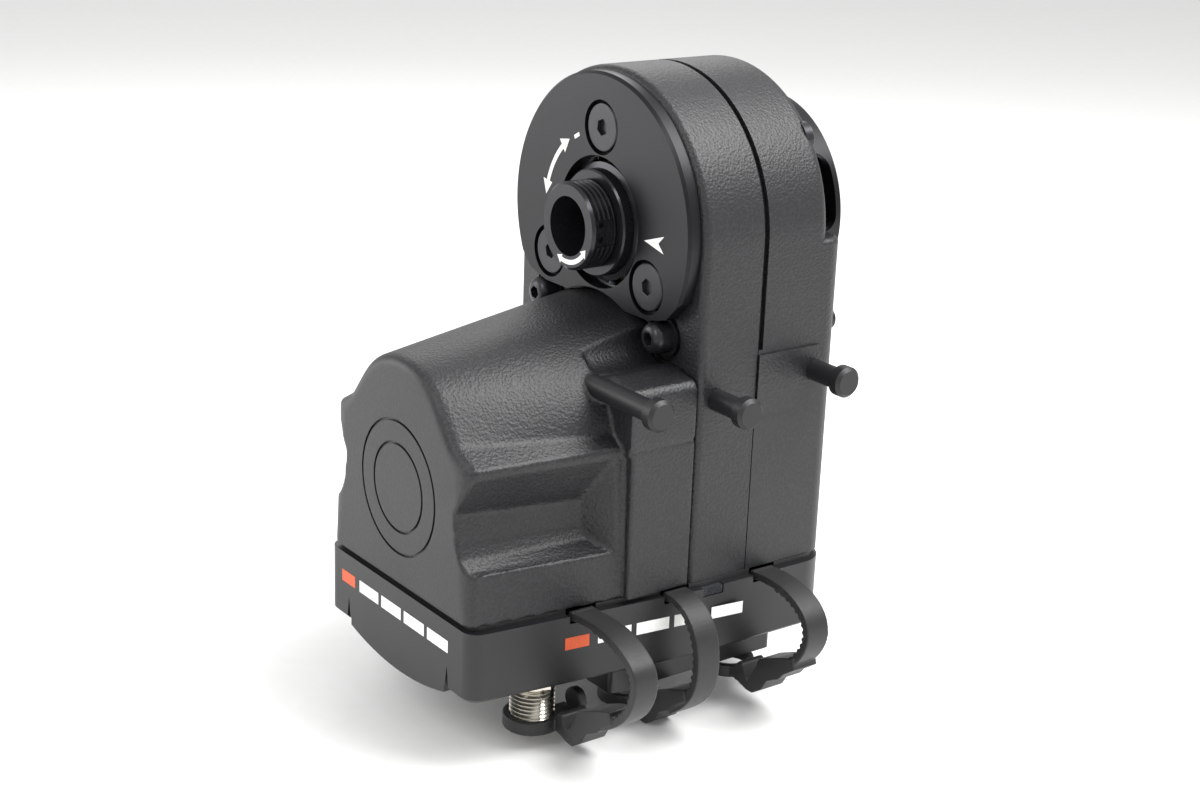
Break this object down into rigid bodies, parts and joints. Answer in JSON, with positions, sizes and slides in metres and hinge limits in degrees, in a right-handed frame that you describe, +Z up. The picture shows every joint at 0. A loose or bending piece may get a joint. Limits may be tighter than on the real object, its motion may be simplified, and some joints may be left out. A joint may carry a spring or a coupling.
{
  "type": "telescope focus motor",
  "caption": "Motorised telescope focuser: round-topped gear case on a motor housing, threaded hollow drive hub on a mounting plate, base tray with ports, side pegs and rubber cable ties.",
  "frame": {"origin": "on the axis of the drive hub, in the front face of the mounting plate", "axes": "+Z up, -Y out of the hub towards the telescope, +X towards the cable pegs and ties"},
  "size_m": [0.072, 0.0794, 0.113],
  "materials": {
    "textured_shell": "fine moulded leather grain, near black",
    "base_shell": "satin moulded plastic, near black",
    "black_anodised": "satin black anodised, machined",
    "black_steel": "black oxide",
    "bearing_steel": "ground",
    "motor_steel": "zinc plated",
    "gear_brass": "hobbed",
    "nickel": "nickel plated",
    "contact_gold": "plated contact",
    "socket_black": "moulded insert",
    "board_green": "solder mask",
    "chip_black": "moulded package",
    "can_aluminium": "sleeveless can",
    "tie_rubber": "matte rubber",
    "seal_rubber": "seal cord",
    "light_window": "clear light pipe",
    "magnet": "sintered",
    "peg_black": "satin moulded peg"
  },
  "bodies": {
    "housing": {"mount_plate": "black_anodised", "plate_screws": "black_steel", "shell_cap_screws": "black_steel", "shell_screw_washers": "black_steel", "case_screws": "black_steel", "guard_screws": "black_steel", "base_screws": "black_steel", "motor_screws": "motor_steel", "front_bearing_outer": "bearing_steel", "front_bearing_balls": "bearing_steel", "rear_bearing_outer": "bearing_steel", "rear_bearing_balls": "bearing_steel", "idler_pin": "bearing_steel", "knob_guard": "black_anodised", "gearhead": "motor_steel", "motor_can": "motor_steel", "motor_end_cap": "socket_black", "position_sensor_board": "board_green", "motor_housing": "textured_shell", "gearbox_front_shell": "textured_shell", "gearbox_rear_shell": "textured_shell", "seam_gasket": "seal_rubber", "housing_peg": "peg_black", "front_shell_peg": "peg_black", "rear_shell_peg": "peg_black", "base_cover": "base_shell", "base_gasket": "seal_rubber", "status_light_window": "light_window", "port_block": "base_shell", "aux_port": "socket_black", "usb_port": "nickel", "aux_port_contacts": "contact_gold", "usb_port_tongue": "socket_black", "power_jack_barrel": "nickel", "power_jack_insulator": "socket_black", "power_jack_pin": "contact_gold", "power_jack_nut": "nickel", "control_board": "board_green", "control_chips": "chip_black", "board_capacitors": "can_aluminium", "cable_tie_1": "tie_rubber"},
    "drive": {"drive_hub": "black_anodised", "front_bearing_inner": "bearing_steel", "rear_bearing_inner": "bearing_steel", "output_gear": "gear_brass", "front_spacer": "can_aluminium", "rear_spacer": "can_aluminium", "hand_knob": "black_anodised", "knob_set_screw": "black_steel"},
    "idler": {"idler_gear": "gear_brass"},
    "pinion": {"motor_pinion": "bearing_steel", "gearhead_shaft": "bearing_steel", "position_magnet": "magnet"},
    "middle_tie": {"cable_tie_2": "tie_rubber"},
    "rear_tie": {"cable_tie_3": "tie_rubber"}
  },
  "joints": [
    {"name": "drive_spin", "type": "hinge", "parent": "housing", "child": "drive", "pos_m": [0, 0, 0], "axis": [0, 1, 0], "continuous": true},
    {"name": "idler_spin", "type": "hinge", "parent": "housing", "child": "idler", "pos_m": [0, 0.014, -0.02766], "axis": [0, 1, 0], "continuous": true},
    {"name": "pinion_spin", "type": "hinge", "parent": "housing", "child": "pinion", "pos_m": [0, 0.014, -0.04012], "axis": [0, 1, 0], "continuous": true},
    {"name": "middle_tie_swing", "type": "hinge", "parent": "housing", "child": "middle_tie", "pos_m": [0.02699, -0.0003, -0.0601], "axis": [0, -1, 0], "range_deg": [0, 20]},
    {"name": "rear_tie_swing", "type": "hinge", "parent": "housing", "child": "rear_tie", "pos_m": [0.02755, 0.0189, -0.0601], "axis": [0, -1, 0], "range_deg": [0, 20]}
  ],
  "couplings": [
    {"joint": "idler_spin", "follows": "drive_spin", "ratio": -2.6316},
    {"joint": "pinion_spin", "follows": "drive_spin", "ratio": 4.1667}
  ]
}
